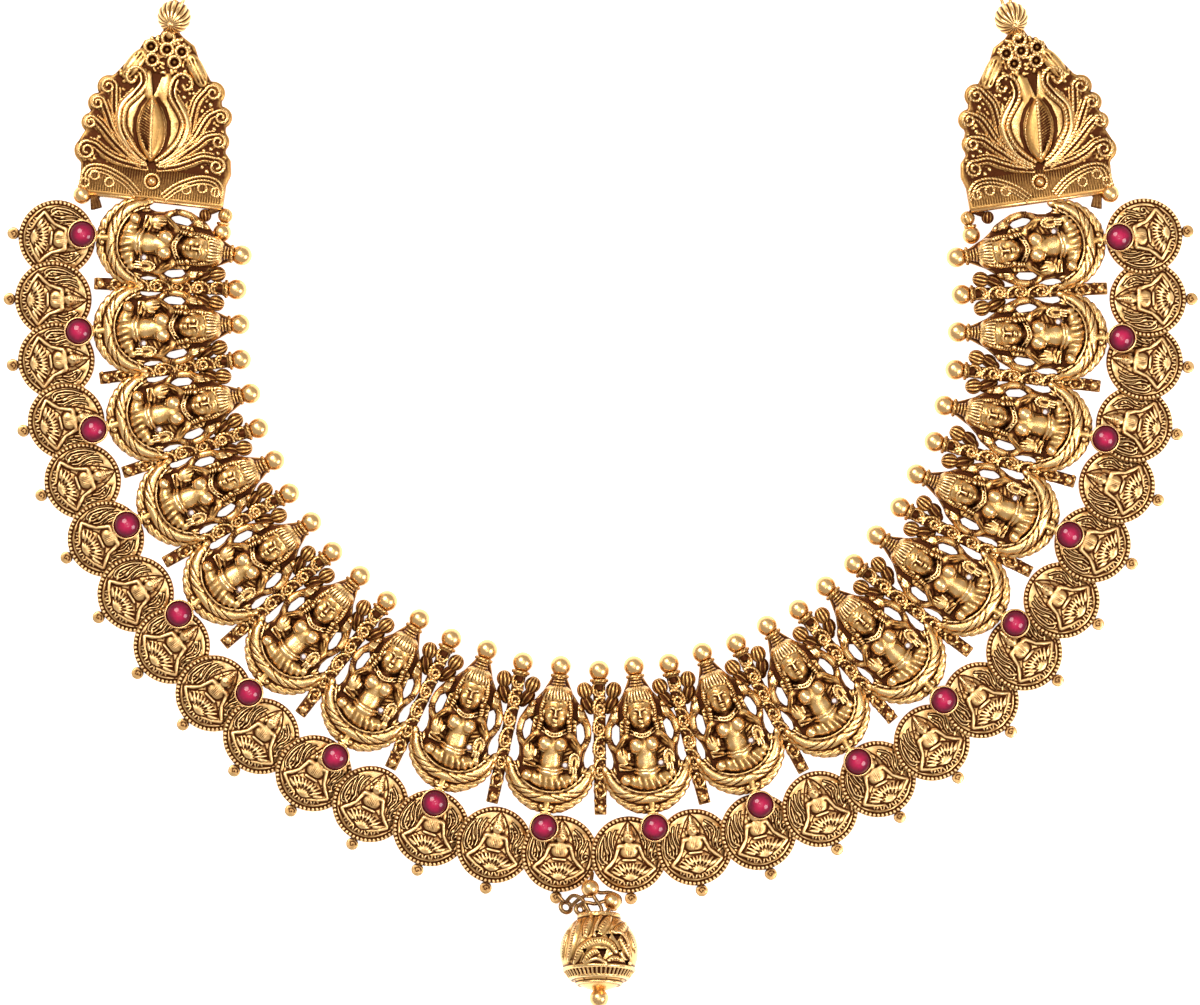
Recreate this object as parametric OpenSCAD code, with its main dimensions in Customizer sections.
// A temple-style gold collar laid flat, face up: a fan of seated figure panels and
// scroll bars between two leaf-shaped end plates, an edge of overlapping coins with
// ruby settings above them, an openwork ball drop, and a plain chain closing the loop.
// +Z is up from the surface that the collar lies on, and +Y runs from the drop to the clasp.

/* [Collar] */
// Mean radius of the ring of small round beads along the inner edge
bead_circle_r = 58.2; // [57.6:0.1:58.6]
// Mean radius of the ring of ruby settings
ruby_circle_r = 83.9; // [83.7:0.1:84]
// Mean radius at which the scroll bars end, just inside the coins
bar_end_r = 81.5; // [81:0.1:81.6]
// Diameter of the small round beads
bead_d = 3.3; // [2.8:0.1:3.5]
// Pitch of the panels on the left half at the bottom, in degrees for a panel and its bar
left_pitch_deg = 12.35; // [12.3:0.05:12.4]
// Pitch of the panels on the right half at the bottom, in degrees for a panel and its bar
right_pitch_deg = 11.8; // [11.75:0.05:11.85]
// How far the panels of the left half lean out of the radial line, in degrees
left_lean_deg = 0.9; // [0.6:0.1:1.1]
// How far the panels of the right half lean out of the radial line, in degrees
right_lean_deg = 2.3; // [2:0.1:2.4]

/* [Figure panels] */
// Thickness of the smooth-sided base that each figure stands on
box_h = 2.4; // [2:0.1:2.6]
// Half width of a panel across its lotus
lotus_half_w = 5.9; // [5.6:0.1:5.9]
// Diameter of a figure's head
head_d = 4.4; // [4:0.1:4.6]
// Width of the slots between the arms and the body
slot_w = 0.8; // [0.6:0.1:1]

/* [Scroll bars] */
// Width of a scroll bar
bar_w = 1.8; // [1.6:0.1:1.85]
// Thickness of a scroll bar without its scrolls
bar_h = 2; // [1.8:0.1:2.1]
// Diameter of the fluted buds beside the inner end of a bar
bud_d = 2.1; // [1.8:0.1:2.3]

/* [Coins] */
// Mean radius of the ring of coin centres
coin_circle_r = 88; // [88:0.1:88.3]
// Diameter of a coin
coin_d = 12.3; // [12:0.1:12.3]
// Thickness of a coin without its rim
coin_t = 0.6; // [0.5:0.05:0.65]
// Height of the rim above the face of a coin
rim_h = 0.3; // [0.2:0.05:0.35]
// Diameter of the flat tabs on the outer edge
tab_d = 2; // [1.6:0.1:2.2]

/* [Ruby settings] */
// Diameter of a ruby
ruby_d = 4.1; // [3.8:0.1:4.2]
// Outer diameter of the collet around a ruby
collet_d = 4.7; // [4.6:0.1:5]
// Height of the underside of a collet above the surface, clear of the coins
collet_z = 2.45; // [2.4:0.05:2.8]

/* [End plates] */
// Thickness of an end plate
plate_h = 2.6; // [2.2:0.1:3]
// Half width of the base of an end plate
plate_half_w = 11.6; // [11.2:0.1:11.8]
// Diameter of the fluted ball at the tip
tip_ball_d = 5.5; // [5:0.1:5.8]

/* [Drop] */
// Diameter of the openwork ball
drop_d = 12.7; // [12:0.1:13]
// Thickness of the wall of the openwork ball
drop_wall = 0.9; // [0.7:0.1:1.2]
// Diameter of the two loose beads above the ball
drop_bead_d = 2.9; // [2.6:0.1:3]

/* [Chain and clasp] */
// Outer diameter of the chain
chain_d = 2.4; // [2:0.1:2.6]
// Radius of the arc that the chain takes round the back of the neck
chain_r = 68.9; // [68.5:0.1:70]
// Length of the clasp
clasp_l = 12; // [10:0.5:14]
// Diameter of the clasp
clasp_d = 4; // [3.4:0.1:4.6]

/* [Hidden] */
$fn = 48;
figure_count = 18;
bar_count = 17;
coins_a_side = 15;
coins_a_row = 5;
row_count = 2 * coins_a_side / coins_a_row;

// The centre of the collar's circles, seen from the centre of the whole outline
collar_at = [-0.25, 6.63];

// The pitch grows tighter towards the end plates by this much for each step squared
left_ease_deg = 0.105;
right_ease_deg = 0.045;
last_step = figure_count / 2 - 0.5;

// The rings are oval: this much longer than their mean radius downwards, and shorter sideways
oval = 0.5;
// The outer rings stand this much to the right of the ring of beads
outer_shift = 0.25;
// The beads of the bars stand this much behind the mean radius, and those of the figures in front
bead_stagger = 0.2;

// The first coin beside the middle on either half, the pitch there, and how it grows tighter
left_coin_deg = 4.3;
left_coin_pitch = 6.83;
left_coin_ease = 0.0165;
right_coin_deg = 2.9;
right_coin_pitch = 6.85;
right_coin_ease = 0.01;
closest_coin_pitch = 6.38;
// Each coin lies over the one on its left, so that its left edge is lifted
coin_gap = 0.13;
coin_rise = (coin_t + rim_h + coin_gap) / (coin_circle_r * sin(closest_coin_pitch));
coin_tilt = atan(coin_rise);

// Heights along a figure, from the ruby up towards the bead
panel_foot_y = 2.4;
lotus_y = 7.2;
leg_y = 7.6;
waist_y = 10.2;
chest_y = 13;
shoulder_y = 14.8;
head_y = 17.9;
hair_y = 18.6;
crown_y = 20.6;
tip_y = 23.6;
bead_z = 2.6;
collet_wall = 0.22;
stone_gap = 0.06;

// How much fuller a joint is than its limb, and how slim a forearm is
joint_fullness = 1.15;
forearm_share = 0.85;

// The frame of each end plate: the middle of its base from the collar's centre, and its turn
left_plate_at = [-71.6, 16.3];
left_plate_turn = -6.5;
right_plate_at = [70.7, 16.2];
right_plate_turn = 8.1;
plate_band_h = 5;
// The fluted ball at the tip of each plate, in the plate's own frame
left_ball_at = [0.45, 29.4];
right_ball_at = [-0.75, 29.4];

// The ball drop, from the collar's centre
drop_at = [0, -103.6];
knob_d = 2.9;
piece_gap = 0.3;

chain_sides = 8;
chain_step = 5.6;

function numbered(name, i) = str(name, i < 10 ? "0" : "", i);
function polar(r, deg) = r * [sin(deg), -cos(deg)];
function turned(p, deg) = [p[0] * cos(deg) - p[1] * sin(deg), p[0] * sin(deg) + p[1] * cos(deg)];

// Angle of a panel or bar from straight down, at its outer end: whole steps are bars
function outer_deg(step) = step < 0
    ? left_pitch_deg * step + left_ease_deg * step * step
    : right_pitch_deg * step - right_ease_deg * step * step;

// The same at its inner end
function inner_deg(step) = outer_deg(step)
    - (step < 0 ? left_lean_deg : right_lean_deg) * sin(180 * step / last_step);

// A point of one of the rings
function ring_point(r, deg) = polar(r + oval * cos(2 * deg), deg);
function outer_point(r, deg) = ring_point(r, deg) + [outer_shift, 0];
function bead_point(step) = ring_point(
    bead_circle_r + (step == round(step) ? bead_stagger : -bead_stagger), inner_deg(step));

// Angle of a coin, counted from 0 at the upper left to the last at the upper right
function coin_deg(i) = i < coins_a_side
    ? let (k = coins_a_side - 1 - i) -left_coin_deg - left_coin_pitch * k + left_coin_ease * k * k
    : let (k = i - coins_a_side) right_coin_deg + right_coin_pitch * k - right_coin_ease * k * k;

// Puts a piece at its outer radius with its own +Y towards its bead, at the distance $reach
module at_step(outer_r, step) {
    foot = outer_point(outer_r, outer_deg(step));
    along = bead_point(step) - foot;
    $reach = norm(along);
    translate([foot[0], foot[1], 0])
        rotate(atan2(along[1], along[0]) - 90)
            children();
}

// A round bar from one point to another
module rod(a, b, r) {
    d = b - a;
    translate(a)
        rotate([0, acos(d[2] / norm(d)), atan2(d[1], d[0])])
            cylinder(h = norm(d), r = r);
}

// A limb through a few points: every second bar is slimmer, and the joints are fuller
module limb(points, r) {
    for (i = [1:len(points) - 1]) rod(points[i - 1], points[i], i % 2 == 0 ? forearm_share * r : r);
    for (p = points) translate(p) sphere(r = joint_fullness * r);
}

module ball(x, y, z, d) {
    translate([x, y, z]) sphere(d = d);
}

// A ring of round wire, lying flat
module wire_ring(r, wire_r) {
    rotate_extrude() translate([r, 0]) circle(r = wire_r);
}

// A bead with its wire collar, on a short neck that points down its own Y
module collared_bead(y, z, neck_l) {
    neck_r = 0.7;
    neck_end = 0.5;
    collar_r = 0.9;
    ball(0, y, z, bead_d);
    translate([0, y - bead_d / 2 - 0.1, z])
        rotate([90, 0, 0])
            wire_ring(collar_r, 0.32);
    rod([0, y - bead_d / 2 - neck_l, z], [0, y - neck_end, z], neck_r);
}

// The pear-shaped outline of a panel
module panel_outline() {
    intersection() {
        translate([0, lotus_y]) circle(r = lotus_half_w);
        translate([-10, panel_foot_y]) square([20, 12]);
    }
    polygon([
        [-5.5, 9], [-5, 15], [-4.6, 19], [-2.3, 20.6], [-1, tip_y],
        [1, tip_y], [2.3, 20.6], [4.6, 19], [5, 15], [5.5, 9]
    ]);
}

// A crescent of the lotus seat: the part of one circle that a second one leaves
module crescent(r, y, inner_r, inner_y, z0, z1) {
    translate([0, 0, z0]) linear_extrude(z1 - z0) difference() {
        translate([0, y]) circle(r = r);
        translate([0, inner_y]) circle(r = inner_r);
        translate([-10, y + 0.6]) square([20, 10]);
    }
}

module panel_box() {
    difference() {
        linear_extrude(box_h) panel_outline();
        for (side = [-1, 1]) {
            translate([side * 3.5 - slot_w / 2, 14.6, -1]) cube([slot_w, 2.6, box_h + 2]);
        }
        translate([2.5, 10.4, -1]) cylinder(h = box_h + 2, r = 0.4);
    }
}

module lotus_seat() {
    crescent(lotus_half_w + 0.4, lotus_y + 1.2, 6.1, lotus_y + 3, box_h - 0.2, 3.3);
    crescent(5.6, lotus_y + 2.3, 5.4, lotus_y + 4.4, box_h - 0.1, 4.1);
}

module seated_body() {
    limb([[-3.9, leg_y + 0.3, 3.2], [0.9, leg_y - 0.9, 3.3]], 1.2);
    limb([[3.9, leg_y + 0.2, 3.3], [-0.8, leg_y - 0.4, 3.7]], 1.15);
    rod([0, leg_y, 3.1], [0, shoulder_y - 0.3, 3.1], 1.75);
    ball(0, waist_y - 0.7, 3.1, 4.1);
    for (side = [-1, 1]) ball(side * 1.25, chest_y, 4, 2.5);
    limb([[-2.4, shoulder_y, 2.9], [2.4, shoulder_y, 2.9]], 1.1);
}

module front_arms() {
    limb([[-3, 14.4, 2.8], [-4.3, 12.1, 2.8], [-3.4, 11.1, 3.6]], 0.75);
    ball(-3.3, 10.9, 4, 2);
    limb([[3, 14.4, 2.8], [4.3, 12.1, 2.8], [3.8, 9.6, 3.6]], 0.75);
    ball(3.8, 9.4, 3.8, 1.8);
}

module raised_arms() {
    for (side = [0, 1]) mirror([side, 0, 0]) {
        translate([0, 0, box_h - 0.3]) linear_extrude(1.1) polygon([
            [2.6, 13.3], [4.6, 13.8], [5, 14.6], [4.8, 17.4], [4, 17.4], [4.1, 15], [2.7, 14.4]
        ]);
        ball(4.1, 18, 2.9, 1.7);
    }
}

module head_and_crown() {
    translate([0, hair_y, box_h - 0.5]) cylinder(h = 1.7, r = 3.1);
    ball(0, head_y, 3.7, head_d);
    translate([0, crown_y - 0.9, 3.4]) rotate([-90, 0, 0]) cylinder(h = 3.6, r1 = 2, r2 = 0.75);
}

// The tab below the lotus and the cup that holds a ruby
module ruby_setting() {
    translate([0, 0, collet_z]) difference() {
        union() {
            translate([-0.9, 1.2, 0]) cube([1.8, 2.6, 0.8]);
            cylinder(h = 1.5, d = collet_d);
        }
        translate([0, 0, 0.5]) cylinder(h = 2, d = collet_d - 2 * collet_wall);
    }
}

module figure(step) {
    color("goldenrod") at_step(ruby_circle_r, step) union() {
        panel_box();
        lotus_seat();
        seated_body();
        front_arms();
        raised_arms();
        head_and_crown();
        collared_bead($reach, bead_z, 1.6);
        ruby_setting();
    }
}

// One fluted bud with the leaf that curls below it
module bud(side) {
    limb([[side * 0.8, -4.4, 1.3], [side * 2.1, -3.6, 1.3]], 0.7);
    ball(side * 2.35, -2.9, 1.45, bud_d);
}

module scroll_bar(step) {
    scroll_l = 3;
    scroll_r = 0.6;
    first_scroll_y = 1.7;
    // How far the bar and its last scroll end from the middle of the bead
    bar_inset = 1.6;
    scroll_inset = 2.5;
    color("darkgoldenrod") at_step(bar_end_r, step) union() {
        translate([-bar_w / 2, 0, 0]) cube([bar_w, $reach - bar_inset, bar_h]);
        for (y = [first_scroll_y:scroll_l:$reach - scroll_inset]) {
            translate([0, y, bar_h]) wire_ring(scroll_r, 0.24);
        }
        collared_bead($reach, bead_z, 1);
        translate([0, $reach, 0]) {
            bud(-1);
            bud(1);
        }
    }
}

// A struck coin in its own frame: face up, crown of its figure towards +Y
module coin() {
    rim_w = 0.9;
    difference() {
        cylinder(h = coin_t + rim_h, d = coin_d);
        translate([0, 0, coin_t]) cylinder(h = 1, d = coin_d - 2 * rim_w);
    }
    translate([0, 0.2, coin_t - 0.1]) cylinder(h = 0.35, r = 1.7);
    translate([0, -2.4, coin_t - 0.1]) cylinder(h = 0.3, r = 1.5);
    translate([0, 2.4, coin_t - 0.1]) cylinder(h = 0.4, r = 0.9);
    translate([0, -coin_d / 2 - tab_d / 2 + 0.15, 0]) cylinder(h = 0.5, d = tab_d);
}

// Coin number i at its place, leaning on the one to its left
module placed_coin(i) {
    centre = outer_point(coin_circle_r, coin_deg(i));
    translate([centre[0], centre[1], coin_rise * coin_d / 2])
        rotate([0, 0, coin_deg(i)])
            rotate([0, coin_tilt, 0])
                coin();
}

// The spot of solder where coin i lies on the one before it
module solder_spot(i) {
    middle = outer_point(coin_circle_r - 1, (coin_deg(i) + coin_deg(i - 1)) / 2);
    translate([middle[0], middle[1], 0.7]) cylinder(h = 0.6, r = 0.4);
}

module coin_row(row) {
    first = (row - 1) * coins_a_row;
    last = row * coins_a_row - 1;
    color("gold") union() {
        for (i = [first:last]) placed_coin(i);
        for (i = [first + 1:last]) solder_spot(i);
    }
}

// A ruby: a short girdle under a dome, resting in its collet
module ruby() {
    stone_r = min(ruby_d, collet_d - 2 * collet_wall - 2 * stone_gap) / 2;
    girdle = 0.6;
    dome_r = 2.45;
    dome_h = dome_r - sqrt(dome_r * dome_r - stone_r * stone_r);
    translate([0, 0, collet_z + 0.5 + stone_gap]) {
        cylinder(h = girdle, r = stone_r);
        intersection() {
            translate([0, 0, girdle + dome_h - dome_r]) sphere(r = dome_r);
            translate([0, 0, girdle - 0.2]) cylinder(h = 3, r = stone_r);
        }
    }
}

module ruby_stones(side) {
    color("crimson") {
        for (k = [0.5:1:last_step]) at_step(ruby_circle_r, side * k) ruby();
    }
}

// Half of the leaf outline of an end plate, on its right
module plate_lobes() {
    // Each row is x, y and the radius of one curled leaf's end
    leaf_ends = [[10.4, 6.1, 2], [9.4, 10, 1.8], [8.8, 13.2, 1.8], [7, 16.4, 1.8], [5.2, 20, 1.7]];
    for (leaf = leaf_ends) translate([leaf[0], leaf[1]]) circle(r = leaf[2]);
}

module plate_outline() {
    translate([-plate_half_w, 0]) square([2 * plate_half_w, plate_band_h]);
    polygon([
        [-10.8, 4], [-9.6, 11], [-7.4, 17], [-4.6, 22.6], [-1.2, 26.6],
        [1.2, 26.6], [4.6, 22.6], [7.4, 17], [9.6, 11], [10.8, 4]
    ]);
    plate_lobes();
    mirror([1, 0]) plate_lobes();
}

// The pointed bud in the middle of an end plate, between its two big petals
module plate_relief() {
    translate([0, 10.6, plate_h - 0.3]) linear_extrude(1.5) intersection() {
        translate([-3.9, 0]) circle(r = 5.6);
        translate([3.9, 0]) circle(r = 5.6);
    }
    for (side = [-1, 1]) {
        translate([side * 3.5, 11.2, plate_h - 0.3]) linear_extrude(1) difference() {
            circle(r = 4.2);
            translate([-side * 1.3, 0.6]) circle(r = 3.9);
        }
    }
    translate([0, 2.7, plate_h - 0.3]) cylinder(h = 0.8, r = 1.5);
    ball(0, 2.7, plate_h + 0.4, 1.6);
    for (p = [[-2.4, 24.2], [0, 24.2], [2.4, 24.2], [-1.6, 22], [1.6, 22]]) {
        translate([p[0], p[1], plate_h]) wire_ring(0.95, 0.3);
    }
}

// The beads and buds soldered on below the base: inner is the side of the neck
module plate_corners(inner) {
    translate([inner * 12, 0.4, 0]) {
        ball(0, -1.6, 1.5, 2.4);
        ball(-inner * 0.2, -4.1, 1.6, bead_d - 0.4);
        limb([[-inner * 0.6, 0.6, 1.3], [0, -1.8, 1.3], [-inner * 0.3, -4, 1.3]], 0.7);
    }
    ball(-inner * 11, -0.2, 1.6, bead_d - 0.4);
}

module end_plate(at, turn, ball_at, inner) {
    color("goldenrod") translate([at[0], at[1], 0]) rotate(turn) union() {
        linear_extrude(plate_h) plate_outline();
        plate_relief();
        plate_corners(inner);
        rod([0, 25, 1.6], [ball_at[0], ball_at[1] - 1, tip_ball_d / 2 - 0.6], 1.1);
        ball(ball_at[0], ball_at[1], tip_ball_d / 2, tip_ball_d);
    }
}

// The pierced ball, lying on its side with its knob away from the collar
module drop_ball() {
    r = drop_d / 2;
    hole_r = 0.75;
    rim_r = 3;
    // Each row of holes: its latitude, how many holes it has, and its turn
    hole_rows = [[18, 5, 0], [-22, 5, 36]];
    color("goldenrod") translate([drop_at[0], drop_at[1], r]) {
        difference() {
            sphere(r = r);
            sphere(r = r - drop_wall);
            for (row = hole_rows) {
                for (k = [0:row[1] - 1]) {
                    rotate([0, k * 360 / row[1] + row[2], 0])
                        rotate([row[0], 0, 0])
                            cylinder(h = r + 1, r = hole_r);
                }
            }
        }
        translate([0, r - 0.9, 0]) rotate([90, 0, 0]) wire_ring(rim_r, 0.5);
        translate([0, -r + 0.2, 0]) rotate([90, 0, 0]) cylinder(h = 0.9, r = 1);
        ball(0, -r - 1.3, 0, knob_d);
    }
}

// The two small beads and the wire loops that carry the ball from the middle coins
module drop_links() {
    top_y = drop_at[1] + drop_d / 2;
    bead_r = drop_bead_d / 2;
    color("gold") {
        limb([[-1.4, top_y + 3.6, 3.4], [-1.2, top_y + 1.9, 4.4], [2.1, top_y + 1.7, 3.4]], 0.4);
        ball(-1.4, top_y + 3.6, 3.7, drop_bead_d);
        ball(2.1, top_y + 1.7, 3.4, drop_bead_d);
        limb([[-1.2, top_y + 1.9, 4.4], [-4.6, top_y + 1.1, 2.6], [-5, top_y + 2, 1.9]], 0.4);
        limb([[-1.2, top_y + 1.9, 4.4], [-0.9, top_y + 0.35, 5.6]], 0.4);
    }
}

// The arc of the chain from ball to ball: its centre, and the angles from there to both balls
tip_left = left_plate_at + turned(left_ball_at, left_plate_turn);
tip_right = right_plate_at + turned(right_ball_at, right_plate_turn);
chord = tip_right - tip_left;
chord_half = norm(chord) / 2;
chord_turn = atan2(chord[1], chord[0]);
arc_drop = sqrt(chain_r * chain_r - chord_half * chord_half);
arc_at = (tip_left + tip_right) / 2 - arc_drop * [-sin(chord_turn), cos(chord_turn)];
arc_left = atan2(tip_left[1] - arc_at[1], tip_left[0] - arc_at[0]);
arc_right = atan2(tip_right[1] - arc_at[1], tip_right[0] - arc_at[0]);
arc_top = 90;
tip_gap_deg = (tip_ball_d / 2 + piece_gap) / chain_r * 180 / PI;
clasp_deg = (clasp_l / 2 + piece_gap) / chain_r * 180 / PI;

// Height of the chain's middle: it comes down from the ball to the surface
function chain_z(from_tip) = chain_d / 2 + 0.9 * max(0, 1 - from_tip / 8);

// One ring of the chain's tube at an angle of its arc
function chain_ring(deg, from_tip) = [
    for (k = [0:chain_sides - 1])
        let (turn = 360 * k / chain_sides + 180 / chain_sides,
             r = chain_r + chain_d / 2 * cos(turn))
        [arc_at[0] + r * cos(deg), arc_at[1] + r * sin(deg),
         chain_z(from_tip) + chain_d / 2 * sin(turn)]
];

// The faces of a tube with closed ends, in rings of points
function tube_faces(rings, n) = concat(
    [[for (k = [0:n - 1]) k]],
    [for (j = [0:rings - 2], k = [0:n - 1])
        [j * n + k, (j + 1) * n + k, (j + 1) * n + (k + 1) % n, j * n + (k + 1) % n]],
    [[for (k = [n - 1:-1:0]) (rings - 1) * n + k]]
);

// Half of the chain, from its tip ball to the clasp
module chain(from_deg, to_deg) {
    arc_l = abs(to_deg - from_deg) * PI / 180 * chain_r;
    rings = ceil(arc_l / chain_step) + 1;
    points = [
        for (j = [0:rings - 1])
            each chain_ring(from_deg + (to_deg - from_deg) * j / (rings - 1),
                            arc_l * j / (rings - 1))
    ];
    faces = tube_faces(rings, chain_sides);
    color("goldenrod") polyhedron(points, from_deg > to_deg
        ? [for (f = faces) [for (k = [len(f) - 1:-1:0]) f[k]]]
        : faces);
}

module clasp() {
    color("gold") translate([arc_at[0], arc_at[1] + chain_r, clasp_d / 2]) rotate([0, 90, 0])
        cylinder(h = clasp_l, d = clasp_d, center = true);
}

translate([collar_at[0], collar_at[1], 0]) {
    for (i = [1:figure_count]) {
        figure(i - (figure_count + 1) / 2);
    }
    for (i = [1:bar_count]) {
        scroll_bar(i - (bar_count + 1) / 2);
    }
    for (i = [1:row_count]) {
        coin_row(i);
    }
    ruby_stones(-1);  // ruby_stones_left
    ruby_stones(1);  // ruby_stones_right
    end_plate(left_plate_at, left_plate_turn, left_ball_at, 1);  // end_plate_left
    end_plate(right_plate_at, right_plate_turn, right_ball_at, -1);  // end_plate_right
    drop_ball();
    drop_links();
    chain(arc_left - tip_gap_deg, arc_top + clasp_deg);  // chain_left
    chain(arc_right + tip_gap_deg, arc_top - clasp_deg);  // chain_right
    clasp();
}
